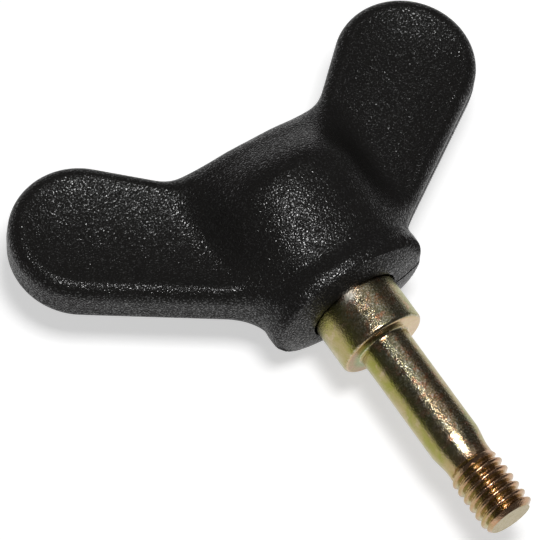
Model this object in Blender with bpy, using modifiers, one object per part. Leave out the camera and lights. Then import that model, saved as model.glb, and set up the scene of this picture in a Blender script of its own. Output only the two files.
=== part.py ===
"""Wing screw: a moulded two-wing handle fixed on a shouldered steel stud with a short thread.

Units are metres and +Z is up. The origin is the centre of the collar's seating face. The stud points
along -Y, the two wings spread along X and sweep back along +Y, and the wings' middle plane is Z = 0.
"""
import math

import bmesh
import bpy
import numpy as np
from mathutils import Vector

MM = 0.001

# Stud: one turned piece. Distances along it are Y, positive inside the handle.
THREAD_RADIUS = 3.95 * MM        # 5/16-18, rolled
THREAD_PITCH = 25.4 / 18 * MM
THREAD_DEPTH = 0.80 * MM
CREST_SHARE = 0.10               # of half a pitch, before the flank starts
ROOT_SHARE = 0.08
FLANK_BULGE = 1.5                # how much the crests are rounded
THREAD_RUN_IN = 0.8 * THREAD_PITCH
THREAD_START_Y = -22.0 * MM
STUD_TIP_Y = -31.6 * MM
TIP_CHAMFER = 0.75 * MM
SHANK_RADIUS = 3.95 * MM
NECK_RADIUS = 3.50 * MM          # rolled down just before the thread
NECK_TAPER_Y = -17.6 * MM
NECK_Y = -20.9 * MM
SEAT_FILLET = 0.45 * MM
COLLAR_RADIUS = 6.63 * MM
COLLAR_EDGE = 0.60 * MM
COLLAR_BACK_Y = 12.0 * MM
HEX_ACROSS_FLATS = 11.0 * MM     # hidden anchor inside the moulding
HEX_BACK_Y = 26.0 * MM
GROOVE_RADIUS = 4.3 * MM
GROOVE_FRONT_Y = 16.5 * MM
GROOVE_BACK_Y = 20.5 * MM
ANCHOR_CHAMFER = 0.5 * MM
MOULD_GAP = 0.3 * MM             # clearance between the stud and the moulding

# Handle: the hub, a barrel of elliptical section along Y with a raised lip round its front end.
HUB_HALF_WIDTH = 12.3 * MM
HUB_CREASE_HEIGHT = 10.25 * MM
LIP_FLARE = 0.30                 # how steeply the top of the lip rises towards the front
FLARE_FOOT_Y = 12.9 * MM
FLARE_SOFTNESS = 0.5 * MM
LIP_RISE = 0.45 * MM
LIP_BACK_Y = 10.4 * MM
LIP_FOOT_Y = 12.3 * MM
HUB_CREST_HEIGHT = 12.7 * MM
HUB_BACK_HEIGHT = 5.7 * MM
HUB_FRONT_Y = 7.35 * MM
HUB_END_SLOPE_SIDE = 3.0 * MM    # how far the hub's end slopes back from its flat middle to its edge
HUB_END_SLOPE_TOP = 4.4 * MM
HUB_END_FLAT = 0.60              # the flat middle's share of the hub's size
HUB_END_SOFTNESS = 0.06          # how gradually the slope starts, as a share of the hub's size
HUB_END_TILT = 0.93              # cosine of the slope, which turns a way along Y into a distance
HUB_BACK_Y = 35.7 * MM
HUB_FRONT_ROUND_SIDE = 1.1 * MM
HUB_FRONT_ROUND_TOP = 0.5 * MM
HUB_BACK_ROUND = 2.2 * MM
RISE_START_Y = 11.8 * MM
CREST_Y = 25.0 * MM
HUB_FALL_END_Y = 37.5 * MM
HUB_SECTION_POWER = 2.25

# Handle: each wing is a tapered capsule in plan, from a root circle to a lobe circle, dished on both faces.
LOBE_CENTRE = Vector((28.45, 35.8)) * MM
LOBE_RADIUS = 10.6 * MM
WING_ANGLE = math.radians(37.0)
WING_TAPER_LENGTH = 22.0 * MM
ROOT_RADIUS = 8.8 * MM
WING_HALF_THICKNESS = 4.25 * MM
WING_EDGE_ROUND = 2.3 * MM
DISH_DEPTH = 1.05 * MM
RIM_SHARE = 0.18                 # width of the rim as a share of the wing's half width
WING_HUB_BLEND = 3.8 * MM
NOTCH_BLEND = 4.9 * MM           # between the wings, at the hub's back
NOTCH_START_Y = 25.0 * MM
NOTCH_FULL_Y = 34.0 * MM
UPPER_BLEND = 1.4 * MM           # added where the wing's faces meet the hub, away from the middle plane
UPPER_START = 2.0 * MM
UPPER_FULL = 5.0 * MM

# Mesh fineness
STUD_SEGMENTS = 30
ROWS_PER_PITCH = 8
CAGE_LEVELS = 2
SHARP_ANGLE = math.radians(35)


def clear_scene():
    for item in list(bpy.data.objects):
        bpy.data.objects.remove(item, do_unlink=True)


def material(name, colour, roughness, metallic):
    made = bpy.data.materials.new(name)
    made.use_nodes = True
    shader = made.node_tree.nodes["Principled BSDF"]
    shader.inputs["Base Color"].default_value = (*colour, 1.0)
    shader.inputs["Roughness"].default_value = roughness
    shader.inputs["Metallic"].default_value = metallic
    return made


# ---------------------------------------------------------------- handle shape

def smooth_step(start, end, value):
    share = np.clip((value - start) / (end - start), 0.0, 1.0)
    return share * share * (3.0 - 2.0 * share)


def rounded_corner(a, b, radius):
    """Distance to the solid that lies inside both a and b, with the edge between them rounded."""
    outside = np.hypot(np.maximum(a + radius, 0.0), np.maximum(b + radius, 0.0))
    inside = np.minimum(np.maximum(a + radius, b + radius), 0.0)
    return outside + inside - radius


def blended(a, b, reach):
    """Distance to the union of a and b with a fillet in the corner between them."""
    share = np.clip(0.5 + 0.5 * (b - a) / reach, 0.0, 1.0)
    return b * (1.0 - share) + a * share - reach * share * (1.0 - share)


def wing_plan(x, y):
    """For the wing on the +X side, in plan: the distance to its outline, the distance to its long
    edges carried on into the hub, and its half width there."""
    along = Vector((math.cos(WING_ANGLE), math.sin(WING_ANGLE)))
    root = LOBE_CENTRE - along * WING_TAPER_LENGTH
    forward = (x - root.x) * along.x + (y - root.y) * along.y
    aside = np.abs((y - root.y) * along.x - (x - root.x) * along.y)
    lean = (ROOT_RADIUS - LOBE_RADIUS) / WING_TAPER_LENGTH
    upright = math.sqrt(1.0 - lean * lean)
    place = forward * upright - aside * lean
    at_root = np.hypot(aside, forward) - ROOT_RADIUS
    at_lobe = np.hypot(aside, forward - WING_TAPER_LENGTH) - LOBE_RADIUS
    at_side = aside * upright + forward * lean - ROOT_RADIUS
    distance = np.where(place < 0.0, at_root, at_side)
    distance = np.where(place > upright * WING_TAPER_LENGTH, at_lobe, distance)
    share = np.clip(forward / WING_TAPER_LENGTH, 0.0, 1.0)
    edges = np.where(place > upright * WING_TAPER_LENGTH, at_lobe, at_side)
    return distance, edges, ROOT_RADIUS + (LOBE_RADIUS - ROOT_RADIUS) * share


def wing_distance(x, y, z):
    outline, edges, half_width = wing_plan(np.abs(x), y)
    inward = np.clip(-edges / half_width, 0.0, 1.0)
    from_middle = np.clip((1.0 - inward) / (1.0 - RIM_SHARE), 0.0, 1.0)
    height = WING_HALF_THICKNESS - DISH_DEPTH * (1.0 - from_middle * from_middle)
    return rounded_corner(outline, np.abs(z) - height, WING_EDGE_ROUND)


def hub_height(y):
    rise = smooth_step(RISE_START_Y, CREST_Y, y)
    fall = smooth_step(CREST_Y, HUB_FALL_END_Y, y)
    return (HUB_CREASE_HEIGHT + (HUB_CREST_HEIGHT - HUB_CREASE_HEIGHT) * rise
            - (HUB_CREST_HEIGHT - HUB_BACK_HEIGHT) * fall)


def hub_distance(x, y, z):
    lip = LIP_RISE * (1.0 - smooth_step(LIP_BACK_Y, LIP_FOOT_Y, y))
    width = HUB_HALF_WIDTH + lip
    before_foot = np.maximum(FLARE_FOOT_Y - y, 0.0)
    flare = LIP_FLARE * before_foot * before_foot / (before_foot + FLARE_SOFTNESS)
    height = hub_height(y) + flare
    power = HUB_SECTION_POWER
    scaled = (np.abs(x / width) ** power + np.abs(z / height) ** power) ** (1.0 / power)
    section = np.hypot(x, z) * (1.0 - 1.0 / np.maximum(scaled, 0.05))
    towards_top = z * z / np.maximum(x * x + z * z, 1e-12)
    slope = HUB_END_SLOPE_SIDE + (HUB_END_SLOPE_TOP - HUB_END_SLOPE_SIDE) * towards_top
    past_flat = np.maximum(scaled - HUB_END_FLAT, 0.0)
    end = HUB_FRONT_Y + slope * past_flat * past_flat / (past_flat + HUB_END_SOFTNESS)
    ridge = HUB_FRONT_ROUND_SIDE + (HUB_FRONT_ROUND_TOP - HUB_FRONT_ROUND_SIDE) * towards_top
    front = rounded_corner(section, (end - y) * HUB_END_TILT, ridge)
    back = rounded_corner(section, y - HUB_BACK_Y, HUB_BACK_ROUND)
    return np.maximum(front, back)


def handle_distance(points):
    x, y, z = points.T
    in_notch = smooth_step(NOTCH_START_Y, NOTCH_FULL_Y, y)
    on_face = smooth_step(UPPER_START, UPPER_FULL, np.abs(z)) * (1.0 - in_notch)
    reach = WING_HUB_BLEND + (NOTCH_BLEND - WING_HUB_BLEND) * in_notch + UPPER_BLEND * on_face
    return blended(wing_distance(x, y, z), hub_distance(x, y, z), reach)


def settle_on_surface(points, rounds=8, step=1e-5):
    """Moves each point to the handle's surface, along the way that the distance changes fastest."""
    for _ in range(rounds):
        value = handle_distance(points)
        slope = np.empty_like(points)
        for axis in range(3):
            nudge = np.zeros(3)
            nudge[axis] = step
            slope[:, axis] = (handle_distance(points + nudge) - handle_distance(points - nudge)) / (2 * step)
        size = np.maximum((slope * slope).sum(axis=1), 0.25)
        points = points - (value / size)[:, None] * slope
    return points


def evened_on_surface(points, edges, rounds=6, share=0.35):
    """Settles the points on the surface, and evens out their spacing along it between the rounds."""
    ends = np.concatenate([edges, edges[:, ::-1]])
    neighbours = np.bincount(ends[:, 0], minlength=len(points))[:, None]
    points = settle_on_surface(points)
    for _ in range(rounds):
        total = np.zeros_like(points)
        np.add.at(total, ends[:, 0], points[ends[:, 1]])
        points = settle_on_surface(points + (total / neighbours - points) * share, rounds=3)
    return settle_on_surface(points)


# ---------------------------------------------------------------- handle mesh

def lobe_point(along_share, across_share):
    """A point of the lobe's outer half disc, from a square grid bent to the circle."""
    along = Vector((math.cos(WING_ANGLE), math.sin(WING_ANGLE)))
    across = Vector((-along.y, along.x))
    forward = along_share * math.sqrt(1.0 - across_share ** 2 / 2.0)
    aside = across_share * math.sqrt(1.0 - along_share ** 2 / 2.0)
    return LOBE_CENTRE + (along * forward + across * aside) * LOBE_RADIUS


def plan_columns():
    """Rows of plan points for each column of the quarter cage, from the hub's middle to the wing's tip."""
    front = [(0.0, 7.3), (6.2, 7.3), (11.2, 8.2), (12.8, 12.8), (18.4, 17.2), (26.0, 22.0)]
    back = [(0.0, 35.7), (4.0, 35.7), (7.6, 35.8), (10.8, 36.0), (14.0, 37.6), (18.0, 41.2)]
    across_shares = (-1.0, -0.8, -0.3, 0.3, 0.8, 1.0)
    columns = []
    for start, end in zip(front, back):
        start, end = Vector(start) * MM, Vector(end) * MM
        rim = min(0.5, LOBE_RADIUS * (1.0 - across_shares[-2]) / (end - start).length)
        shares = [0.0, rim] + [0.5 + share / 2 * (1 - 2 * rim) / 0.8 for share in across_shares[2:-2]]
        shares += [1.0 - rim, 1.0]
        columns.append([start.lerp(end, share) for share in shares])
    for along_share in (0.0, 0.8, 1.0):
        columns.append([lobe_point(along_share, share) for share in across_shares])
    return columns


def cage_height(place):
    """A first guess of the handle's height over a plan point, which settling then corrects."""
    hub_share = max(0.0, 1.0 - (place.x / HUB_HALF_WIDTH) ** 2) ** 0.5
    hub = float(hub_height(np.array([place.y]))[0]) * hub_share
    return max(hub, WING_HALF_THICKNESS - DISH_DEPTH / 2)


def quarter_cage():
    """The coarse quarter of the handle with X >= 0 and Z >= 0, open at both middle planes."""
    grid = bmesh.new()
    columns = plan_columns()
    top = [[grid.verts.new((*place, cage_height(place))) for place in column] for column in columns]
    for left, right in zip(top, top[1:]):
        for corners in zip(left, right, right[1:], left[1:]):
            grid.faces.new(corners)
    rim = [column[0] for column in top] + top[-1][1:] + [column[-1] for column in reversed(top[:-1])]
    for corner in rim:
        corner.co.z *= 0.75
    middle = [grid.verts.new((corner.co.x, corner.co.y, 0.0)) for corner in rim]
    for upper, lower, next_lower, next_upper in zip(rim, middle, middle[1:], rim[1:]):
        grid.faces.new((upper, lower, next_lower, next_upper))
    return grid


def add_object(name, mesh, collection, finish=None):
    made = bpy.data.objects.new(name, mesh)
    if finish:
        mesh.materials.append(finish)
    collection.objects.link(made)
    return made


def handle_blank(collection, finish):
    """The handle without its pocket: the cage is mirrored twice, subdivided and settled on the surface."""
    cage = quarter_cage()
    mesh = bpy.data.meshes.new("wing_handle_cage")
    cage.to_mesh(mesh)
    cage.free()
    guide = add_object("wing_handle_cage", mesh, collection)
    mirror = guide.modifiers.new("Both middle planes", "MIRROR")
    mirror.use_axis = (True, False, True)
    mirror.merge_threshold = 0.0001
    subdivision = guide.modifiers.new("Fineness", "SUBSURF")
    subdivision.levels = subdivision.render_levels = CAGE_LEVELS
    bpy.context.view_layer.update()
    graph = bpy.context.evaluated_depsgraph_get()
    fine = bpy.data.meshes.new_from_object(guide.evaluated_get(graph))
    bpy.data.objects.remove(guide, do_unlink=True)
    fine.name = "wing_handle"
    places = np.empty(len(fine.vertices) * 3)
    fine.vertices.foreach_get("co", places)
    edges = np.empty(len(fine.edges) * 2, dtype=np.int32)
    fine.edges.foreach_get("vertices", edges)
    settled = evened_on_surface(places.reshape(-1, 3), edges.reshape(-1, 2))
    fine.vertices.foreach_set("co", settled.ravel())
    shell = bmesh.new()
    shell.from_mesh(fine)
    bmesh.ops.recalc_face_normals(shell, faces=shell.faces)
    shell.to_mesh(fine)
    shell.free()
    fine.shade_smooth()
    return add_object("wing_handle", fine, collection, finish)


# ---------------------------------------------------------------- stud

def thread_profile(phase):
    """Depth of the thread groove as a share of its full depth, over one pitch from crest to crest."""
    from_crest = abs(phase - round(phase)) * 2.0
    return min(1.0, max(0.0, (from_crest - CREST_SHARE) / (1.0 - CREST_SHARE - ROOT_SHARE))) ** FLANK_BULGE


def thread_radius(y, angle):
    """Radius of the threaded end, whose groove runs in from the neck and fades out at the tip's chamfer."""
    grown = THREAD_START_Y - y
    run_in = min(1.0, max(0.0, grown / THREAD_RUN_IN))
    blank = NECK_RADIUS + (THREAD_RADIUS - NECK_RADIUS) * run_in
    depth = THREAD_DEPTH * thread_profile(y / THREAD_PITCH - angle / math.tau)
    chamfer = THREAD_RADIUS - TIP_CHAMFER + max(0.0, y - STUD_TIP_Y)
    return min(blank, max(THREAD_RADIUS - depth, THREAD_RADIUS - THREAD_DEPTH), chamfer)


def hexagon_radius(angle, most):
    """Radius of the hexagonal anchor at an angle, no larger than the given one."""
    turned = (angle + math.pi / 6) % (math.pi / 3) - math.pi / 6
    return min(HEX_ACROSS_FLATS / 2 / math.cos(turned), most)


def arc_rings(centre_y, centre_radius, size, start_degrees, end_degrees, count):
    """(y, radius) pairs along an arc of the turned outline; 0 degrees points outwards, 90 towards +Y."""
    rings = []
    for index in range(count + 1):
        angle = math.radians(start_degrees + (end_degrees - start_degrees) * index / count)
        rings.append((centre_y + size * math.sin(angle), centre_radius + size * math.cos(angle)))
    return rings


def turned_outline():
    """(y, radius) pairs of the plain stud from the thread's start to the back of the collar."""
    outline = [(THREAD_START_Y, NECK_RADIUS), (NECK_Y, NECK_RADIUS), (NECK_TAPER_Y, SHANK_RADIUS)]
    outline += arc_rings(-SEAT_FILLET, SHANK_RADIUS + SEAT_FILLET, SEAT_FILLET, 180, 90, 3)
    outline += arc_rings(COLLAR_EDGE, COLLAR_RADIUS - COLLAR_EDGE, COLLAR_EDGE, -90, 0, 4)
    outline.append((COLLAR_BACK_Y, COLLAR_RADIUS))
    return outline


def anchor_outline():
    """(y, radius cap) pairs of the hexagonal anchor with its locking groove."""
    corner = HEX_ACROSS_FLATS / 2 / math.cos(math.pi / 6)
    return [
        (COLLAR_BACK_Y, corner),
        (GROOVE_FRONT_Y, corner),
        (GROOVE_FRONT_Y, GROOVE_RADIUS),
        (GROOVE_BACK_Y, GROOVE_RADIUS),
        (GROOVE_BACK_Y, corner),
        (HEX_BACK_Y - ANCHOR_CHAMFER, corner),
        (HEX_BACK_Y, corner - 2 * ANCHOR_CHAMFER),
    ]


def stud_rings():
    """Every ring of the stud as (y, list of radii), from the tip to the back."""
    angles = [math.tau * index / STUD_SEGMENTS for index in range(STUD_SEGMENTS)]
    rings = []
    rows = math.ceil((THREAD_START_Y - STUD_TIP_Y) / THREAD_PITCH * ROWS_PER_PITCH)
    for row in range(rows):
        y = STUD_TIP_Y + (THREAD_START_Y - STUD_TIP_Y) * row / rows
        rings.append((y, [thread_radius(y, angle) for angle in angles]))
    rings += [(y, [radius] * STUD_SEGMENTS) for y, radius in turned_outline()]
    rings += [(y, [hexagon_radius(angle, most) for angle in angles]) for y, most in anchor_outline()]
    return rings


def lofted(name, rings):
    """A closed body round the Y axis, lofted through rings of radii."""
    body = bmesh.new()
    loops = []
    for y, radii in rings:
        angles = [math.tau * index / len(radii) for index in range(len(radii))]
        loops.append([
            body.verts.new((radius * math.sin(angle), y, radius * math.cos(angle)))
            for radius, angle in zip(radii, angles)
        ])
    for lower, upper in zip(loops, loops[1:]):
        for index in range(len(lower)):
            after = (index + 1) % len(lower)
            body.faces.new((lower[index], lower[after], upper[after], upper[index]))
    body.faces.new(reversed(loops[0]))
    body.faces.new(loops[-1])
    bmesh.ops.recalc_face_normals(body, faces=body.faces)
    mesh = bpy.data.meshes.new(name)
    body.to_mesh(mesh)
    body.free()
    return mesh


def stud(collection, finish):
    mesh = lofted("shoulder_stud", stud_rings())
    mesh.shade_smooth()
    mesh.set_sharp_from_angle(angle=SHARP_ANGLE)
    return add_object("shoulder_stud", mesh, collection, finish)


def pocket_cutter(collection):
    """The space the moulding leaves round the collar and the anchor, open at the hub's front."""
    round_wall = [COLLAR_RADIUS + MOULD_GAP] * STUD_SEGMENTS
    rings = [(-MOULD_GAP, round_wall), (COLLAR_BACK_Y + MOULD_GAP, round_wall)]
    angles = [math.tau * index / STUD_SEGMENTS for index in range(STUD_SEGMENTS)]
    for y, most in anchor_outline():
        towards_back = -MOULD_GAP if y == GROOVE_BACK_Y else MOULD_GAP
        rings.append((y + towards_back, [hexagon_radius(angle, most) + MOULD_GAP for angle in angles]))
    cutter = add_object("pocket_cutter", lofted("pocket_cutter", rings), collection)
    cutter.hide_render = True
    cutter.display_type = "WIRE"
    return cutter


def build():
    clear_scene()
    parts = bpy.data.collections.new("Wing screw")
    cutters = bpy.data.collections.new("Cutters")
    bpy.context.scene.collection.children.link(parts)
    bpy.context.scene.collection.children.link(cutters)
    plastic = material("black_moulded_plastic", (0.012, 0.012, 0.013), 0.42, 0.0)
    steel = material("yellow_zinc_steel", (0.55, 0.47, 0.20), 0.30, 1.0)
    handle = handle_blank(parts, plastic)
    cut = handle.modifiers.new("Pocket for the stud", "BOOLEAN")
    cut.operation = "DIFFERENCE"
    cut.solver = "EXACT"
    cut.object = pocket_cutter(cutters)
    stud(parts, steel)


build()
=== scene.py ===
"""Looks of the wing screw: a grained black moulded handle and a yellow zinc-plated shouldered stud.

Both CAD solids are replaced by finer meshes of the same shape, made from the same driving dimensions.
Lengths are in metres, in the row frame: origin at the collar's seating face, stud along -Y, wings along X.
"""
import math

import bmesh
import bpy
import numpy as np
from mathutils import Matrix, Vector


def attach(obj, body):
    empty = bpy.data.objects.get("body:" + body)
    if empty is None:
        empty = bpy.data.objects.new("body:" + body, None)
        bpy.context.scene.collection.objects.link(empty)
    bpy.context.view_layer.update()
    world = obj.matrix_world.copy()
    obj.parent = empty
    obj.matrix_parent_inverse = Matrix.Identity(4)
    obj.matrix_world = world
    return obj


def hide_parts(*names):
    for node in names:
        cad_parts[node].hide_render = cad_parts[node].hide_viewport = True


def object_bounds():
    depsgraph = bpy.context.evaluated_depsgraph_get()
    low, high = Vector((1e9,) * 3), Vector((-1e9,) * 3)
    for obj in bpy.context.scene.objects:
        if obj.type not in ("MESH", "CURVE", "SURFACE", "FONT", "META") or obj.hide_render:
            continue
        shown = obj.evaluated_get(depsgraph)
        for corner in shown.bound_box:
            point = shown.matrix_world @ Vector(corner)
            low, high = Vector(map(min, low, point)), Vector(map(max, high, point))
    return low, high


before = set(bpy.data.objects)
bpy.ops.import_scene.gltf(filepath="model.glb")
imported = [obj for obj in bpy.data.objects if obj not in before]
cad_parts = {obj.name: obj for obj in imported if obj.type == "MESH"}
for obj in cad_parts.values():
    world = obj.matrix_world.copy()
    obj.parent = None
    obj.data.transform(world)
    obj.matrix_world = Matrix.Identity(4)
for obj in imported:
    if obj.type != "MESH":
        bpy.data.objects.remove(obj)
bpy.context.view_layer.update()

MM = 0.001

# ---------------------------------------------------------------- driving dimensions, as in the CAD

THREAD_RADIUS = 3.95 * MM
THREAD_PITCH = 25.4 / 18 * MM
THREAD_DEPTH = 0.80 * MM
CREST_SHARE = 0.10               # of half a pitch, before the flank starts
ROOT_SHARE = 0.08
FLANK_BULGE = 1.5                # how much the crests are rounded
THREAD_RUN_IN = 0.8 * THREAD_PITCH
THREAD_START_Y = -22.0 * MM
STUD_TIP_Y = -31.6 * MM
TIP_CHAMFER = 0.75 * MM
SHANK_RADIUS = 3.95 * MM
NECK_RADIUS = 3.50 * MM
NECK_TAPER_Y = -17.6 * MM
NECK_Y = -20.9 * MM
SEAT_FILLET = 0.45 * MM
COLLAR_RADIUS = 6.63 * MM
COLLAR_EDGE = 0.60 * MM
COLLAR_BACK_Y = 12.0 * MM
HEX_ACROSS_FLATS = 11.0 * MM
HEX_BACK_Y = 26.0 * MM
GROOVE_RADIUS = 4.3 * MM
GROOVE_FRONT_Y = 16.5 * MM
GROOVE_BACK_Y = 20.5 * MM
ANCHOR_CHAMFER = 0.5 * MM
MOULD_GAP = 0.3 * MM

HUB_HALF_WIDTH = 12.3 * MM
HUB_CREASE_HEIGHT = 10.25 * MM
LIP_FLARE = 0.30                 # how steeply the top of the lip rises towards the front
FLARE_FOOT_Y = 12.9 * MM
FLARE_SOFTNESS = 0.5 * MM
LIP_RISE = 0.45 * MM
LIP_BACK_Y = 10.4 * MM
LIP_FOOT_Y = 12.3 * MM
HUB_CREST_HEIGHT = 12.7 * MM
HUB_BACK_HEIGHT = 5.7 * MM
HUB_FRONT_Y = 7.35 * MM
HUB_END_SLOPE_SIDE = 3.0 * MM    # how far the hub's end slopes back from its flat middle to its edge
HUB_END_SLOPE_TOP = 4.4 * MM
HUB_END_FLAT = 0.60              # the flat middle's share of the hub's size
HUB_END_SOFTNESS = 0.06          # how gradually the slope starts, as a share of the hub's size
HUB_END_TILT = 0.93              # cosine of the slope, which turns a way along Y into a distance
HUB_BACK_Y = 35.7 * MM
HUB_FRONT_ROUND_SIDE = 1.1 * MM
HUB_FRONT_ROUND_TOP = 0.5 * MM
HUB_BACK_ROUND = 2.2 * MM
RISE_START_Y = 11.8 * MM
CREST_Y = 25.0 * MM
HUB_FALL_END_Y = 37.5 * MM
HUB_SECTION_POWER = 2.25

LOBE_CENTRE = Vector((28.45, 35.8)) * MM
LOBE_RADIUS = 10.6 * MM
WING_ANGLE = math.radians(37.0)
WING_TAPER_LENGTH = 22.0 * MM
ROOT_RADIUS = 8.8 * MM
WING_HALF_THICKNESS = 4.25 * MM
WING_EDGE_ROUND = 2.3 * MM
DISH_DEPTH = 1.05 * MM
RIM_SHARE = 0.18
WING_HUB_BLEND = 3.8 * MM
NOTCH_BLEND = 4.9 * MM           # between the wings, at the hub's back
NOTCH_START_Y = 25.0 * MM
NOTCH_FULL_Y = 34.0 * MM
UPPER_BLEND = 1.4 * MM           # added where the wing's faces meet the hub, away from the middle plane
UPPER_START = 2.0 * MM
UPPER_FULL = 5.0 * MM

# ---------------------------------------------------------------- details that only the looks have

MOULD_SHIFT = 0.11 * MM          # each mould half is off centre by this much, so the parting line is a step
PARTING_HALF_WIDTH = 0.20 * MM
PARTING_LOOPS = (-4.0, -1.6, -1.0, 1.0, 1.6, 4.0)    # heights of the edge loops beside it, in half widths
PARTING_GROOVE = 0.05 * MM
PARTING_CRACK = 0.60 * MM        # deeper where the line crosses the hub's front on the +X side
CRACK_START_X = 6.5 * MM
CRACK_FULL_X = 9.0 * MM
CRACK_FULL_Y = 8.6 * MM
CRACK_END_Y = 11.5 * MM
POCKET_DEPTH = COLLAR_BACK_Y + 2.0 * MM
NECK_CONE_SHARE = 0.35           # of the neck's taper is straight, and the rest of it is curved

HIGHLIGHT_SPOT = Vector((-2.5, 6.8, 6.1)) * MM            # on the collar's top, where the key's highlight falls in this view: a pale painted highlight
HIGHLIGHT_CORE = 0.4 * MM
HIGHLIGHT_EDGE = 1.4 * MM
HIGHLIGHT_RAGGEDNESS = 0.9 * MM
COPPER_FULL_Y = THREAD_START_Y - 0.5 * MM            # the copper tint of the thread fades out up the neck
COPPER_END_Y = THREAD_START_Y + 2.5 * MM
END_TINT_HALF_WIDTH = 3.5 * MM   # over which the collar's face turns from green to orange
RIM_TINT_START = 4.6 * MM        # distance from the axis where the face's orange rim starts
RIM_TINT_FULL = 5.4 * MM
TIP_TINT_FULL_Y = STUD_TIP_Y + 0.2 * MM
TIP_TINT_END_Y = STUD_TIP_Y + 0.6 * MM

# The coarse cage that the handle's mesh grows from, in plan and in millimetres: the front and back ends of
# its columns, from the hub's middle out to the wing's root. They are rough, because settling corrects them.
CAGE_FRONT = ((0.0, 7.3), (6.2, 7.3), (11.2, 8.2), (12.8, 12.8), (18.4, 17.2), (26.0, 22.0))
CAGE_BACK = ((0.0, 35.7), (4.0, 35.7), (7.6, 35.8), (10.8, 36.0), (14.0, 37.6), (18.0, 41.2))
CAGE_ACROSS = (-1.0, -0.8, -0.3, 0.3, 0.8, 1.0)      # shares of the lobe's radius
CAGE_ALONG = (0.0, 0.8, 1.0)
CAGE_RIM_HEIGHT = 0.75           # of the full height, at the cage's outer edge

# Fineness of the meshes
CAGE_LEVELS = 4
EVENING_ROUNDS = 10
POCKET_SEGMENTS = 120
STUD_SEGMENTS = 144
ROWS_PER_PITCH = 22
NECK_ROWS = 24
NECK_OVERRUN = 0.6 * MM
FILLET_ROWS = 8
COLLAR_EDGE_ROWS = 10
SUPPORT_GAP = 0.4 * MM           # from a rounded edge to the next ring on the straight beside it
TIP_RING_SHARES = (0.3, 0.65, 0.93)
HANDLE_SHARP_ANGLE = math.radians(40)
STUD_SHARP_ANGLE = math.radians(38)


# ---------------------------------------------------------------- handle shape

LEAST_SCALE = 0.05               # these three guard the divisions near the hub's axis and at creases
TINY_AREA = 1e-12
LEAST_SLOPE_SQUARED = 0.25


def smooth_step(start, end, value):
    """0 before the start, 1 after the end, and a smooth rise between them."""
    share = np.clip((value - start) / (end - start), 0.0, 1.0)
    return share * share * (3.0 - 2.0 * share)


def rounded_corner(a, b, radius):
    """Distance to the solid that lies inside both a and b, with the edge between them rounded."""
    outside = np.hypot(np.maximum(a + radius, 0.0), np.maximum(b + radius, 0.0))
    inside = np.minimum(np.maximum(a + radius, b + radius), 0.0)
    return outside + inside - radius


def blended(a, b, reach):
    """Distance to the union of a and b with a fillet in the corner between them."""
    share = np.clip(0.5 + 0.5 * (b - a) / reach, 0.0, 1.0)
    return b * (1.0 - share) + a * share - reach * share * (1.0 - share)


def wing_plan(x, y):
    """For the wing on the +X side, in plan: the distance to its outline, the distance to its long
    edges carried on into the hub, and its half width there."""
    along = Vector((math.cos(WING_ANGLE), math.sin(WING_ANGLE)))
    root = LOBE_CENTRE - along * WING_TAPER_LENGTH
    forward = (x - root.x) * along.x + (y - root.y) * along.y
    aside = np.abs((y - root.y) * along.x - (x - root.x) * along.y)
    lean = (ROOT_RADIUS - LOBE_RADIUS) / WING_TAPER_LENGTH
    upright = math.sqrt(1.0 - lean * lean)
    place = forward * upright - aside * lean
    at_root = np.hypot(aside, forward) - ROOT_RADIUS
    at_lobe = np.hypot(aside, forward - WING_TAPER_LENGTH) - LOBE_RADIUS
    side_reflection_tint = aside * upright + forward * lean - ROOT_RADIUS
    distance = np.where(place < 0.0, at_root, side_reflection_tint)
    distance = np.where(place > upright * WING_TAPER_LENGTH, at_lobe, distance)
    share = np.clip(forward / WING_TAPER_LENGTH, 0.0, 1.0)
    edges = np.where(place > upright * WING_TAPER_LENGTH, at_lobe, side_reflection_tint)
    return distance, edges, ROOT_RADIUS + (LOBE_RADIUS - ROOT_RADIUS) * share


def wing_distance(x, y, z):
    """Distance to the two wings: flat plates with rounded edges, dished inside their rims."""
    outline, edges, half_width = wing_plan(np.abs(x), y)
    inward = np.clip(-edges / half_width, 0.0, 1.0)
    from_middle = np.clip((1.0 - inward) / (1.0 - RIM_SHARE), 0.0, 1.0)
    height = WING_HALF_THICKNESS - DISH_DEPTH * (1.0 - from_middle * from_middle)
    return rounded_corner(outline, np.abs(z) - height, WING_EDGE_ROUND)


def hub_height(y):
    """Half height of the hub: it rises from the lip to the crest and falls away to the back."""
    rise = smooth_step(RISE_START_Y, CREST_Y, y)
    fall = smooth_step(CREST_Y, HUB_FALL_END_Y, y)
    return (HUB_CREASE_HEIGHT + (HUB_CREST_HEIGHT - HUB_CREASE_HEIGHT) * rise
            - (HUB_CREST_HEIGHT - HUB_BACK_HEIGHT) * fall)


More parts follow.
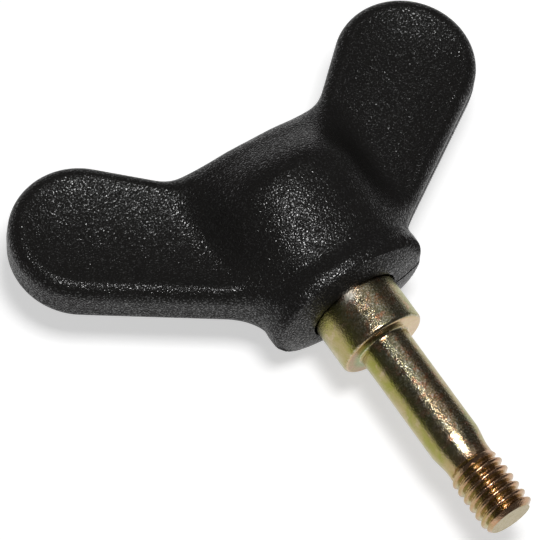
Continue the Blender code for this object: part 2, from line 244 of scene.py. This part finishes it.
def hub_distance(x, y, z):
    """Distance to the hub: a squarish oval section with a flared lip and a front that slopes back."""
    lip = LIP_RISE * (1.0 - smooth_step(LIP_BACK_Y, LIP_FOOT_Y, y))
    width = HUB_HALF_WIDTH + lip
    before_foot = np.maximum(FLARE_FOOT_Y - y, 0.0)
    flare = LIP_FLARE * before_foot * before_foot / (before_foot + FLARE_SOFTNESS)
    height = hub_height(y) + flare
    power = HUB_SECTION_POWER
    scaled = (np.abs(x / width) ** power + np.abs(z / height) ** power) ** (1.0 / power)
    section = np.hypot(x, z) * (1.0 - 1.0 / np.maximum(scaled, LEAST_SCALE))
    towards_top = z * z / np.maximum(x * x + z * z, TINY_AREA)
    slope = HUB_END_SLOPE_SIDE + (HUB_END_SLOPE_TOP - HUB_END_SLOPE_SIDE) * towards_top
    past_flat = np.maximum(scaled - HUB_END_FLAT, 0.0)
    end = HUB_FRONT_Y + slope * past_flat * past_flat / (past_flat + HUB_END_SOFTNESS)
    ridge = HUB_FRONT_ROUND_SIDE + (HUB_FRONT_ROUND_TOP - HUB_FRONT_ROUND_SIDE) * towards_top
    front = rounded_corner(section, (end - y) * HUB_END_TILT, ridge)
    back = rounded_corner(section, y - HUB_BACK_Y, HUB_BACK_ROUND)
    return np.maximum(front, back)


def handle_distance(points):
    """Distance to the whole handle, negative inside it."""
    x, y, z = points.T
    in_notch = smooth_step(NOTCH_START_Y, NOTCH_FULL_Y, y)
    on_face = smooth_step(UPPER_START, UPPER_FULL, np.abs(z)) * (1.0 - in_notch)
    reach = WING_HUB_BLEND + (NOTCH_BLEND - WING_HUB_BLEND) * in_notch + UPPER_BLEND * on_face
    return blended(wing_distance(x, y, z), hub_distance(x, y, z), reach)


def settle_on_surface(points, rounds=8, step=1e-5):
    """Moves each point to the handle's surface, along the way that the distance changes fastest."""
    for _ in range(rounds):
        value = handle_distance(points)
        slope = np.empty_like(points)
        for axis in range(3):
            nudge = np.zeros(3)
            nudge[axis] = step
            slope[:, axis] = (handle_distance(points + nudge) - handle_distance(points - nudge)) / (2 * step)
        size = np.maximum((slope * slope).sum(axis=1), LEAST_SLOPE_SQUARED)
        points = points - (value / size)[:, None] * slope
    return points


def evened_on_surface(points, edges, rounds, share=0.35):
    """Settles the points on the surface, and evens out their spacing along it between the rounds."""
    ends = np.concatenate([edges, edges[:, ::-1]])
    neighbours = np.bincount(ends[:, 0], minlength=len(points))[:, None]
    points = settle_on_surface(points)
    for _ in range(rounds):
        total = np.stack([
            np.bincount(ends[:, 0], weights=points[ends[:, 1], axis], minlength=len(points))
            for axis in range(3)
        ], axis=1)
        points = settle_on_surface(points + (total / neighbours - points) * share, rounds=2)
    return settle_on_surface(points, rounds=4)


# ---------------------------------------------------------------- handle mesh

def lobe_point(along_share, across_share):
    """A point of the lobe's outer half disc, from a square grid bent to the circle."""
    along = Vector((math.cos(WING_ANGLE), math.sin(WING_ANGLE)))
    across = Vector((-along.y, along.x))
    forward = along_share * math.sqrt(1.0 - across_share ** 2 / 2.0)
    aside = across_share * math.sqrt(1.0 - along_share ** 2 / 2.0)
    return LOBE_CENTRE + (along * forward + across * aside) * LOBE_RADIUS


def plan_columns():
    """Rows of plan points for each column of the quarter cage, from the hub's middle to the wing's tip."""
    columns = []
    inner = CAGE_ACROSS[-2]
    for start, end in zip(CAGE_FRONT, CAGE_BACK):
        start, end = Vector(start) * MM, Vector(end) * MM
        rim = min(0.5, LOBE_RADIUS * (1.0 - inner) / (end - start).length)
        middle = [0.5 + share / 2 * (1 - 2 * rim) / inner for share in CAGE_ACROSS[2:-2]]
        columns.append([start.lerp(end, share) for share in (0.0, rim, *middle, 1.0 - rim, 1.0)])
    for along_share in CAGE_ALONG:
        columns.append([lobe_point(along_share, share) for share in CAGE_ACROSS])
    return columns


def cage_height(place):
    """A first guess of the handle's height over a plan point, which settling then corrects."""
    hub_share = max(0.0, 1.0 - (place.x / HUB_HALF_WIDTH) ** 2) ** 0.5
    hub = float(hub_height(np.array([place.y]))[0]) * hub_share
    return max(hub, WING_HALF_THICKNESS - DISH_DEPTH / 2)


def quarter_cage():
    """The coarse quarter of the handle with X >= 0 and Z >= 0, open at both middle planes."""
    grid = bmesh.new()
    columns = plan_columns()
    top = [[grid.verts.new((*place, cage_height(place))) for place in column] for column in columns]
    for left, right in zip(top, top[1:]):
        for corners in zip(left, right, right[1:], left[1:]):
            grid.faces.new(corners)
    rim = [column[0] for column in top] + top[-1][1:] + [column[-1] for column in reversed(top[:-1])]
    for corner in rim:
        corner.co.z *= CAGE_RIM_HEIGHT
    middle = [grid.verts.new((corner.co.x, corner.co.y, 0.0)) for corner in rim]
    for upper, lower, next_lower, next_upper in zip(rim, middle, middle[1:], rim[1:]):
        grid.faces.new((upper, lower, next_lower, next_upper))
    return grid


def add_object(name, data):
    """A new object in the scene with the given mesh, camera or light."""
    made = bpy.data.objects.new(name, data)
    bpy.context.scene.collection.objects.link(made)
    return made


def evaluated_copy(item, name):
    """The mesh that the object's modifiers make, as new mesh data; the object itself is removed."""
    graph = bpy.context.evaluated_depsgraph_get()
    mesh = bpy.data.meshes.new_from_object(item.evaluated_get(graph))
    bpy.data.objects.remove(item, do_unlink=True)
    mesh.name = name
    return mesh


def handle_skin():
    """The whole handle without its pocket: the quarter cage mirrored, subdivided and settled."""
    cage = quarter_cage()
    mesh = bpy.data.meshes.new("handle_cage")
    cage.to_mesh(mesh)
    cage.free()
    guide = add_object("handle_cage", mesh)
    mirror = guide.modifiers.new("Both middle planes", "MIRROR")
    mirror.use_axis = (True, False, True)
    mirror.merge_threshold = 0.00005
    fineness = guide.modifiers.new("Fineness", "SUBSURF")
    fineness.levels = fineness.render_levels = CAGE_LEVELS
    skin = evaluated_copy(guide, "handle_skin")
    places = np.empty(len(skin.vertices) * 3)
    skin.vertices.foreach_get("co", places)
    edges = np.empty(len(skin.edges) * 2, dtype=np.int32)
    skin.edges.foreach_get("vertices", edges)
    settled = evened_on_surface(places.reshape(-1, 3), edges.reshape(-1, 2), EVENING_ROUNDS)
    skin.vertices.foreach_set("co", settled.ravel())
    return skin


def add_parting_line(shell):
    """Cuts edge loops beside the middle plane, sinks the one on it and steps the mould halves sideways."""
    for offset in PARTING_LOOPS:
        everything = shell.verts[:] + shell.edges[:] + shell.faces[:]
        bmesh.ops.bisect_plane(
            shell, geom=everything, dist=1e-7, plane_co=(0.0, 0.0, offset * PARTING_HALF_WIDTH),
            plane_no=(0.0, 0.0, 1.0),
        )
    shell.normal_update()
    for corner in shell.verts:
        x, y, z = corner.co
        half = max(-1.0, min(1.0, z / PARTING_HALF_WIDTH))
        if abs(half) < 0.5:
            side_reflection_tint = smooth_step(CRACK_START_X, CRACK_FULL_X, x)
            at_front = 1.0 - smooth_step(CRACK_FULL_Y, CRACK_END_Y, y)
            depth = PARTING_GROOVE + (PARTING_CRACK - PARTING_GROOVE) * float(side_reflection_tint * at_front)
            corner.co -= Vector((corner.normal.x, corner.normal.y, 0.0)).normalized() * depth
        corner.co.x -= half * MOULD_SHIFT


def pocket_cutter():
    """A plug as wide as the collar's pocket, from the seating face to just behind the collar."""
    cutter = bmesh.new()
    radius = COLLAR_RADIUS + MOULD_GAP
    bmesh.ops.create_cone(
        cutter, cap_ends=True, segments=POCKET_SEGMENTS, radius1=radius, radius2=radius, depth=POCKET_DEPTH,
        matrix=Matrix.Translation((0.0, POCKET_DEPTH / 2, 0.0)) @ Matrix.Rotation(math.pi / 2, 4, "X"),
    )
    mesh = bpy.data.meshes.new("pocket_cutter")
    cutter.to_mesh(mesh)
    cutter.free()
    return add_object("pocket_cutter", mesh)


def make_handle():
    """The moulded handle with its parting line and the pocket that shows round the collar."""
    skin = handle_skin()
    shell = bmesh.new()
    shell.from_mesh(skin)
    bmesh.ops.recalc_face_normals(shell, faces=shell.faces)
    add_parting_line(shell)
    shell.to_mesh(skin)
    shell.free()
    blank = add_object("handle_blank", skin)
    cutter = pocket_cutter()
    cut = blank.modifiers.new("Pocket for the stud", "BOOLEAN")
    cut.operation = "DIFFERENCE"
    cut.solver = "EXACT"
    cut.object = cutter
    mesh = evaluated_copy(blank, "moulded_handle")
    bpy.data.objects.remove(cutter, do_unlink=True)
    mesh.shade_smooth()
    mesh.set_sharp_from_angle(angle=HANDLE_SHARP_ANGLE)
    return add_object("moulded_handle", mesh)


# ---------------------------------------------------------------- stud

def thread_profile(phase):
    """Depth of the thread groove as a share of its full depth, over one pitch from crest to crest."""
    from_crest = abs(phase - round(phase)) * 2.0
    down_flank = (from_crest - CREST_SHARE) / (1.0 - CREST_SHARE - ROOT_SHARE)
    return min(1.0, max(0.0, down_flank)) ** FLANK_BULGE


def thread_radius(y, angle):
    """Radius of the threaded end, whose groove runs in from the neck and fades out at the tip's chamfer."""
    grown = THREAD_START_Y - y
    run_in = min(1.0, max(0.0, grown / THREAD_RUN_IN))
    blank = NECK_RADIUS + (THREAD_RADIUS - NECK_RADIUS) * run_in
    depth = THREAD_DEPTH * thread_profile(y / THREAD_PITCH - angle / math.tau)
    chamfer = THREAD_RADIUS - TIP_CHAMFER + max(0.0, y - STUD_TIP_Y)
    return min(blank, THREAD_RADIUS - depth, chamfer)


def hexagon_radius(angle, most):
    """Radius of the anchor's hexagon at an angle, cut down to the given most."""
    turned = (angle + math.pi / 6) % (math.pi / 3) - math.pi / 6
    return min(HEX_ACROSS_FLATS / 2 / math.cos(turned), most)


def arc_rings(centre_y, centre_radius, size, start_degrees, end_degrees, count):
    """(y, radius) pairs along an arc of the turned outline; 0 degrees points outwards, 90 towards +Y."""
    rings = []
    for index in range(count + 1):
        angle = math.radians(start_degrees + (end_degrees - start_degrees) * index / count)
        rings.append((centre_y + size * math.sin(angle), centre_radius + size * math.cos(angle)))
    return rings


def neck_radius(y):
    """Radius between the thread and the shank: a short neck, and a soft taper up to the shank."""
    share = min(1.0, max(0.0, (y - NECK_Y) / (NECK_TAPER_Y - NECK_Y)))
    curved = share * share * (3 - 2 * share)
    risen = NECK_CONE_SHARE * share + (1.0 - NECK_CONE_SHARE) * curved
    return NECK_RADIUS + (SHANK_RADIUS - NECK_RADIUS) * risen


def turned_outline():
    """(y, radius) pairs of the plain stud from the thread's start to the back of the collar."""
    neck_length = NECK_TAPER_Y + NECK_OVERRUN - THREAD_START_Y
    neck = [THREAD_START_Y + neck_length * row / NECK_ROWS for row in range(1, NECK_ROWS + 1)]
    outline = [(y, neck_radius(y)) for y in neck]
    outline.append((-SEAT_FILLET - SUPPORT_GAP, SHANK_RADIUS))
    outline += arc_rings(-SEAT_FILLET, SHANK_RADIUS + SEAT_FILLET, SEAT_FILLET, 180, 90, FILLET_ROWS)
    outline += arc_rings(COLLAR_EDGE, COLLAR_RADIUS - COLLAR_EDGE, COLLAR_EDGE, -90, 0, COLLAR_EDGE_ROWS)
    outline += [(COLLAR_EDGE + SUPPORT_GAP, COLLAR_RADIUS), (COLLAR_BACK_Y, COLLAR_RADIUS)]
    return outline


def anchor_outline():
    """(y, radius cap) pairs of the hexagonal anchor with its locking groove, hidden in the moulding."""
    corner = HEX_ACROSS_FLATS / 2 / math.cos(math.pi / 6)
    return [
        (COLLAR_BACK_Y, corner),
        (GROOVE_FRONT_Y, corner),
        (GROOVE_FRONT_Y, GROOVE_RADIUS),
        (GROOVE_BACK_Y, GROOVE_RADIUS),
        (GROOVE_BACK_Y, corner),
        (HEX_BACK_Y - ANCHOR_CHAMFER, corner),
        (HEX_BACK_Y, corner - 2 * ANCHOR_CHAMFER),
    ]


def make_stud():
    """The stud as one lofted body, from rings of radii along its axis."""
    angles = [math.tau * index / STUD_SEGMENTS for index in range(STUD_SEGMENTS)]
    tip_radius = THREAD_RADIUS - TIP_CHAMFER
    rings = [(STUD_TIP_Y, [tip_radius * share] * STUD_SEGMENTS) for share in TIP_RING_SHARES]
    rows = math.ceil((THREAD_START_Y - STUD_TIP_Y) / THREAD_PITCH * ROWS_PER_PITCH)
    for row in range(rows + 1):
        y = STUD_TIP_Y + (THREAD_START_Y - STUD_TIP_Y) * row / rows
        rings.append((y, [thread_radius(y, angle) for angle in angles]))
    rings += [(y, [radius] * STUD_SEGMENTS) for y, radius in turned_outline()]
    rings += [(y, [hexagon_radius(angle, most) for angle in angles]) for y, most in anchor_outline()]
    body = bmesh.new()
    loops = [
        [body.verts.new((radius * math.sin(angle), y, radius * math.cos(angle)))
         for radius, angle in zip(radii, angles)]
        for y, radii in rings
    ]
    for lower, upper in zip(loops, loops[1:]):
        for index in range(STUD_SEGMENTS):
            after = (index + 1) % STUD_SEGMENTS
            body.faces.new((lower[index], lower[after], upper[after], upper[index]))
    body.faces.new(reversed(loops[0]))
    body.faces.new(loops[-1])
    bmesh.ops.recalc_face_normals(body, faces=body.faces)
    mesh = bpy.data.meshes.new("plated_stud")
    body.to_mesh(mesh)
    body.free()
    mesh.shade_smooth()
    mesh.set_sharp_from_angle(angle=STUD_SHARP_ANGLE)
    return add_object("plated_stud", mesh)


# ---------------------------------------------------------------- materials

# Colours, as linear red, green, blue and alpha
PLASTIC_DEEP = (0.0112, 0.0106, 0.0102, 1)
PLASTIC_WARM = (0.0148, 0.0140, 0.0132, 1)
OLIVE_BROWN = (0.34, 0.32, 0.19, 1)
WARM_BROWN = (0.42, 0.31, 0.17, 1)
RUST = (0.56, 0.25, 0.12, 1)
PALE_FLECK = (0.66, 0.64, 0.58, 1)
DARK_FLECK = (0.12, 0.11, 0.07, 1)
YELLOW_GREEN = (0.27, 0.26, 0.045, 1)
STRAW = (0.36, 0.30, 0.13, 1)
GREY_PINK = (0.46, 0.38, 0.27, 1)
COPPER = (0.52, 0.29, 0.17, 1)
MINT = (0.34, 0.44, 0.20, 1)
ORANGE = (0.54, 0.35, 0.20, 1)
OLIVE = (0.50, 0.46, 0.20, 1)
TIP_OLIVE = (0.25, 0.205, 0.055, 1)
HIGHLIGHT_PALE = (0.62, 0.60, 0.57, 1)
PAPER_DULL = (0.68, 0.68, 0.68, 1)
PAPER_CLEAN = (0.72, 0.72, 0.72, 1)
WHITE = (1.0, 1.0, 1.0, 1.0)

# Sizes of the grain, as features in a metre
TONE_SCALE = 260.0
MOTTLE_SCALE = 800.0
FLECK_SCALE = 4200.0
STEEL_HAZE_SCALE = 1200.0
GLOSS_SCALE = 3600.0
PLASTIC_HAZE_SCALE = 900.0
PEBBLE_SCALE = 3300.0
PEBBLE_HEIGHT_SCALE = 1500.0
FINE_GRAIN_SCALE = 6000.0
PAPER_SCALE = 60.0

PEBBLE_RELIEF = 0.075 * MM
FINE_GRAIN_SHARE = 0.35          # of the pebbles' relief
STEEL_RELIEF = 0.040 * MM
HIGHLIGHT_ROUGHNESS = 0.25            # added inside the painted highlight spot
FLOOR_GLOW = 0.57                # under the object
FLOOR_DIM_GLOW = 0.05            # further out
GLOW_FADE_START = 90.0 * MM
GLOW_FADE_END = 200.0 * MM


class Nodes:
    """A small helper to build one material's node tree."""

    def __init__(self, name):
        self.material = bpy.data.materials.new(name)
        self.material.use_nodes = True
        self.tree = self.material.node_tree

    def put(self, value, socket):
        """Links another node's output to the socket, or sets the socket to a plain value."""
        if isinstance(value, bpy.types.NodeSocket):
            self.tree.links.new(value, socket)
        else:
            socket.default_value = value

    def add(self, kind, inputs=None, **settings):
        made = self.tree.nodes.new(kind)
        for key, value in settings.items():
            setattr(made, key, value)
        for key, value in (inputs or {}).items():
            self.put(value, made.inputs[key])
        return made

    def place_and_normal(self):
        """The point in metres and the way that the surface faces, both along the object's own axes."""
        made = self.add("ShaderNodeTexCoord")
        return made.outputs["Object"], made.outputs["Normal"]

    def noise(self, place, scale, detail=2.0, roughness=0.5, distortion=0.0):
        return self.add("ShaderNodeTexNoise", {
            "Vector": place, "Scale": scale, "Detail": detail, "Roughness": roughness,
            "Distortion": distortion}).outputs["Fac"]

    def calculate(self, operation, first, second=0.0):
        return self.add("ShaderNodeMath", {0: first, 1: second}, operation=operation).outputs[0]

    def measure(self, operation, first, second=(0.0, 0.0, 0.0)):
        """A number worked out from one or two vectors."""
        made = self.add("ShaderNodeVectorMath", {0: first, 1: second}, operation=operation)
        return made.outputs["Value"]

    def masked(self, vector, mask):
        made = self.add("ShaderNodeVectorMath", {0: vector, 1: mask}, operation="MULTIPLY")
        return made.outputs["Vector"]

    def component(self, vector, axis):
        return self.add("ShaderNodeSeparateXYZ", {0: vector}).outputs[axis]

    def spread(self, value, low, high, to_low=0.0, to_high=1.0):
        """Maps low...high to to_low...to_high, and holds the end values outside that range."""
        return self.add("ShaderNodeMapRange", {
            "Value": value, "From Min": low, "From Max": high,
            "To Min": to_low, "To Max": to_high}).outputs[0]

    def mix_colours(self, share, first, second):
        made = self.add("ShaderNodeMix", {0: share, 6: first, 7: second}, data_type="RGBA")
        return made.outputs[2]

    def bump(self, height, distance):
        return self.add("ShaderNodeBump", {
            "Height": height, "Strength": 1.0, "Distance": distance}).outputs["Normal"]

    def finished(self, inputs):
        """The material, once its shader has the given inputs."""
        shader = self.tree.nodes["Principled BSDF"]
        for key, value in inputs.items():
            self.put(value, shader.inputs[key])
        return self.material


def moulded_plastic():
    """Black moulded plastic with a pebbled grain; the gloss fades towards the surface's edges."""
    n = Nodes("black_grained_plastic")
    place, _ = n.place_and_normal()
    colour = n.mix_colours(n.noise(place, TONE_SCALE, detail=3.0), PLASTIC_DEEP, PLASTIC_WARM)
    glossy_spots = n.spread(n.noise(place, GLOSS_SCALE, detail=1.0), 0.52, 0.66, to_low=0.07)
    edge_on = n.add("ShaderNodeLayerWeight", {"Blend": 0.5}).outputs["Facing"]
    gloss = n.calculate("MULTIPLY", glossy_spots, n.spread(edge_on, 0.0, 1.0, to_low=1.0, to_high=0.05))
    haze = n.noise(place, PLASTIC_HAZE_SCALE)
    pebble = n.add("ShaderNodeTexVoronoi", {"Vector": place, "Scale": PEBBLE_SCALE},
                   feature="F1").outputs["Distance"]
    tallness = n.spread(n.noise(place, PEBBLE_HEIGHT_SCALE, detail=1.0), 0.3, 0.7, to_low=0.5, to_high=1.25)
    pebbles = n.calculate("MULTIPLY", n.calculate("MULTIPLY", pebble, pebble), tallness)
    fine_grain = n.calculate("MULTIPLY", n.noise(place, FINE_GRAIN_SCALE), FINE_GRAIN_SHARE)
    return n.finished({
        "Base Color": colour,
        "Specular IOR Level": gloss,
        "Roughness": n.spread(haze, 0.3, 0.7, to_low=0.17, to_high=0.27),
        "Normal": n.bump(n.calculate("SUBTRACT", fine_grain, pebbles), PEBBLE_RELIEF),
    })


def barrel_colour(n, place, normal, patches, mottle, flecks):
    """Colour of the round surfaces: brown above and below, green at the sides, copper on the thread. The
    green at the sides is a painted reflection tint, set where the stud's edges mirror the bright floor in
    this view.
    """
    brown = n.mix_colours(n.spread(patches, 0.40, 0.60), OLIVE_BROWN, WARM_BROWN)
    brown = n.mix_colours(n.spread(mottle, 0.54, 0.64, to_high=0.8), brown, RUST)
    brown = n.mix_colours(n.spread(flecks, 0.53, 0.63, to_high=0.7), brown, PALE_FLECK)
    brown = n.mix_colours(n.spread(flecks, 0.38, 0.48, to_low=0.75, to_high=0.0), brown, DARK_FLECK)
    green = n.mix_colours(n.spread(patches, 0.38, 0.62), YELLOW_GREEN, STRAW)
    green = n.mix_colours(n.spread(mottle, 0.55, 0.68, to_high=0.6), green, GREY_PINK)
    # Painted reflection: faces turned sideways along X, the stud's edges in this view, take the yellow-green
    # tint of the floor's reflection
    sideways = n.calculate("ABSOLUTE", n.component(normal, "X"))
    side_reflection_tint = n.spread(sideways, 0.50, 0.82, to_high=0.9)
    on_thread = n.spread(n.component(place, "Y"), COPPER_FULL_Y, COPPER_END_Y, to_low=0.75, to_high=0.0)
    coppery = n.calculate("MULTIPLY", on_thread, n.spread(side_reflection_tint, 0.0, 1.0, to_low=1.0, to_high=0.45))
    return n.mix_colours(coppery, n.mix_colours(side_reflection_tint, brown, green), COPPER)


def end_face_colour(n, place, mottle):
    """Colour of the faces across the axis: green on the collar's -X side, orange on its other side and round
    its rim, and plain olive on the stud's tip. The green on the -X side is a painted reflection tint of the
    bright surroundings in the fillet."""
    # Painted reflection: the collar's face turns green towards -X, where its fillet mirrors the bright
    # surroundings in this view
    across = n.spread(n.component(place, "X"), -END_TINT_HALF_WIDTH, END_TINT_HALF_WIDTH)
    off_axis = n.measure("LENGTH", n.masked(place, (1.0, 0.0, 1.0)))
    in_rim = n.spread(off_axis, RIM_TINT_START, RIM_TINT_FULL)
    colour = n.mix_colours(n.calculate("MAXIMUM", across, in_rim), MINT, ORANGE)
    colour = n.mix_colours(n.spread(mottle, 0.4, 0.6, to_high=0.5), colour, OLIVE)
    at_tip = n.spread(n.component(place, "Y"), TIP_TINT_FULL_Y, TIP_TINT_END_Y, to_low=1.0, to_high=0.0)
    return n.mix_colours(at_tip, colour, TIP_OLIVE)


def chromated_steel():
    """Zinc-plated steel with a yellow chromate finish that shifts in colour over the turned surfaces, partly
    through painted reflection tints, with a painted highlight on the collar.
    """
    n = Nodes("yellow_chromated_steel")
    place, normal = n.place_and_normal()
    patches = n.noise(place, TONE_SCALE, detail=3.0, roughness=0.6, distortion=0.8)
    mottle = n.noise(place, MOTTLE_SCALE, detail=3.0, roughness=0.6)
    flecks = n.noise(place, FLECK_SCALE, roughness=0.6)
    endways = n.calculate("ABSOLUTE", n.component(normal, "Y"))
    colour = n.mix_colours(n.spread(endways, 0.75, 0.95, to_high=0.85),
                           barrel_colour(n, place, normal, patches, mottle, flecks),
                           end_face_colour(n, place, mottle))
    # A painted highlight: a pale, rougher patch on the collar's top, where the key's highlight falls in this
    # view
    raggedness = n.spread(flecks, 0.3, 0.7, to_low=-HIGHLIGHT_RAGGEDNESS, to_high=HIGHLIGHT_RAGGEDNESS)
    from_highlight = n.calculate("ADD", n.measure("DISTANCE", place, HIGHLIGHT_SPOT), raggedness)
    painted_highlight = n.spread(from_highlight, HIGHLIGHT_CORE, HIGHLIGHT_EDGE, to_low=0.6, to_high=0.0)
    haze = n.noise(place, STEEL_HAZE_SCALE, detail=3.0)
    roughness = n.spread(haze, 0.3, 0.7, to_low=0.13, to_high=0.28)
    return n.finished({
        "Metallic": 1.0,
        "Base Color": n.mix_colours(painted_highlight, colour, HIGHLIGHT_PALE),
        "Roughness": n.calculate("ADD", roughness, n.calculate("MULTIPLY", painted_highlight, HIGHLIGHT_ROUGHNESS)),
        "Normal": n.bump(flecks, STEEL_RELIEF),
    })


def pale_floor():
    """White paper on a light table whose glow fades away from the object."""
    n = Nodes("pale_paper_floor")
    place, _ = n.place_and_normal()
    from_middle = n.measure("LENGTH", place)
    return n.finished({
        "Base Color": n.mix_colours(n.noise(place, PAPER_SCALE), PAPER_DULL, PAPER_CLEAN),
        "Roughness": 0.9,
        "Specular IOR Level": 0.1,
        "Emission Color": WHITE,
        "Emission Strength": n.spread(from_middle, GLOW_FADE_START, GLOW_FADE_END,
                                      to_low=FLOOR_GLOW, to_high=FLOOR_DIM_GLOW),
    })


# ---------------------------------------------------------------- stage

CAMERA_AZIMUTH = math.radians(-47.54)
CAMERA_ELEVATION = math.radians(61.41)
CAMERA_ROLL = math.radians(15.34)
CAMERA_DEPTH = 0.577             # from the lens to the plane through the origin
CAMERA_SIDE = 0.01657            # how far the lens's axis passes beside the origin
CAMERA_HEIGHT = 0.01065
SENSOR_WIDTH = 36.0              # in the camera's own millimetres, as the lens is
LENS = 272.2

LIGHT_TARGET = Vector((0.0, 0.012, 0.0))
KEY_FROM = Vector((-0.11, -0.10, 1.0))
KEY_DISTANCE = 0.5
KEY_SIZE = 0.12
KEY_POWER = 1.6
CEILING_FROM = Vector((0.36, 0.33, 0.88))    # a wide dim light, which up-facing surfaces mirror
CEILING_DISTANCE = 0.6
CEILING_SIZE = 0.26
CEILING_POWER = 0.11

HORIZON_GLOW = 0.08
OVERHEAD_GLOW = 0.07
HORIZON_TOP = 0.15               # the upward part of a direction, where the glow starts to fade
OVERHEAD_BOTTOM = 0.75
FLOOR_HALF_SIZE = 1.5
FLOOR_CLEARANCE = 0.05 * MM


def add_camera():
    """A camera high up in front, on the -X side, turned about its own line of sight."""
    azimuth, elevation = CAMERA_AZIMUTH, CAMERA_ELEVATION
    back = Vector((math.sin(azimuth) * math.cos(elevation), -math.cos(azimuth) * math.cos(elevation),
                   math.sin(elevation)))
    level = Vector((math.cos(azimuth), math.sin(azimuth), 0.0))
    upright = back.cross(level)
    right = level * math.cos(CAMERA_ROLL) + upright * math.sin(CAMERA_ROLL)
    up = upright * math.cos(CAMERA_ROLL) - level * math.sin(CAMERA_ROLL)
    data = bpy.data.cameras.new("camera")
    data.sensor_fit = "HORIZONTAL"
    data.sensor_width = SENSOR_WIDTH
    data.lens = LENS
    data.clip_start = 10.0 * MM
    camera = add_object("camera", data)
    turn = Matrix((right, up, back)).transposed().to_4x4()
    place = back * CAMERA_DEPTH - right * CAMERA_SIDE + up * CAMERA_HEIGHT
    camera.matrix_world = Matrix.Translation(place) @ turn
    bpy.context.scene.camera = camera


def add_area_light(name, direction, distance, size, power):
    """A square light at the given distance in the given direction, which faces the object."""
    data = bpy.data.lights.new(name, "AREA")
    data.energy = power
    data.size = size
    lamp = add_object(name, data)
    towards = direction.normalized()
    lamp.location = LIGHT_TARGET + towards * distance
    lamp.rotation_euler = towards.to_track_quat("Z", "Y").to_euler()


def add_world():
    """Dim, soft surroundings that are a touch brighter near the horizon than overhead."""
    world = bpy.data.worlds.new("soft_room")
    bpy.context.scene.world = world
    world.use_nodes = True
    nodes, links = world.node_tree.nodes, world.node_tree.links
    direction = nodes.new("ShaderNodeTexCoord")
    parts = nodes.new("ShaderNodeSeparateXYZ")
    ramp = nodes.new("ShaderNodeMapRange")
    ramp.interpolation_type = "SMOOTHSTEP"
    links.new(direction.outputs["Generated"], parts.inputs[0])
    links.new(parts.outputs["Z"], ramp.inputs["Value"])
    ramp.inputs["From Min"].default_value = HORIZON_TOP
    ramp.inputs["From Max"].default_value = OVERHEAD_BOTTOM
    ramp.inputs["To Min"].default_value = HORIZON_GLOW
    ramp.inputs["To Max"].default_value = OVERHEAD_GLOW
    links.new(ramp.outputs[0], nodes["Background"].inputs["Strength"])
    nodes["Background"].inputs["Color"].default_value = WHITE


def add_floor():
    """A wide flat sheet just under the object's lowest point."""
    sheet = bmesh.new()
    bmesh.ops.create_grid(sheet, x_segments=1, y_segments=1, size=FLOOR_HALF_SIZE)
    mesh = bpy.data.meshes.new("floor")
    sheet.to_mesh(mesh)
    sheet.free()
    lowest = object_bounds()[0].z
    floor = add_object("floor", mesh)
    floor.location = (0.0, 0.0, lowest - FLOOR_CLEARANCE)
    floor.data.materials.append(pale_floor())


# ---------------------------------------------------------------- build

handle = make_handle()
handle.data.materials.append(moulded_plastic())
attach(handle, "root")
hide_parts("wing_handle")

stud = make_stud()
stud.data.materials.append(chromated_steel())
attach(stud, "root")
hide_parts("shoulder_stud")

add_floor()
add_camera()
add_world()
add_area_light("key", KEY_FROM, KEY_DISTANCE, KEY_SIZE, KEY_POWER)
add_area_light("ceiling", CEILING_FROM, CEILING_DISTANCE, CEILING_SIZE, CEILING_POWER)
bpy.context.scene.view_settings.view_transform = "Standard"
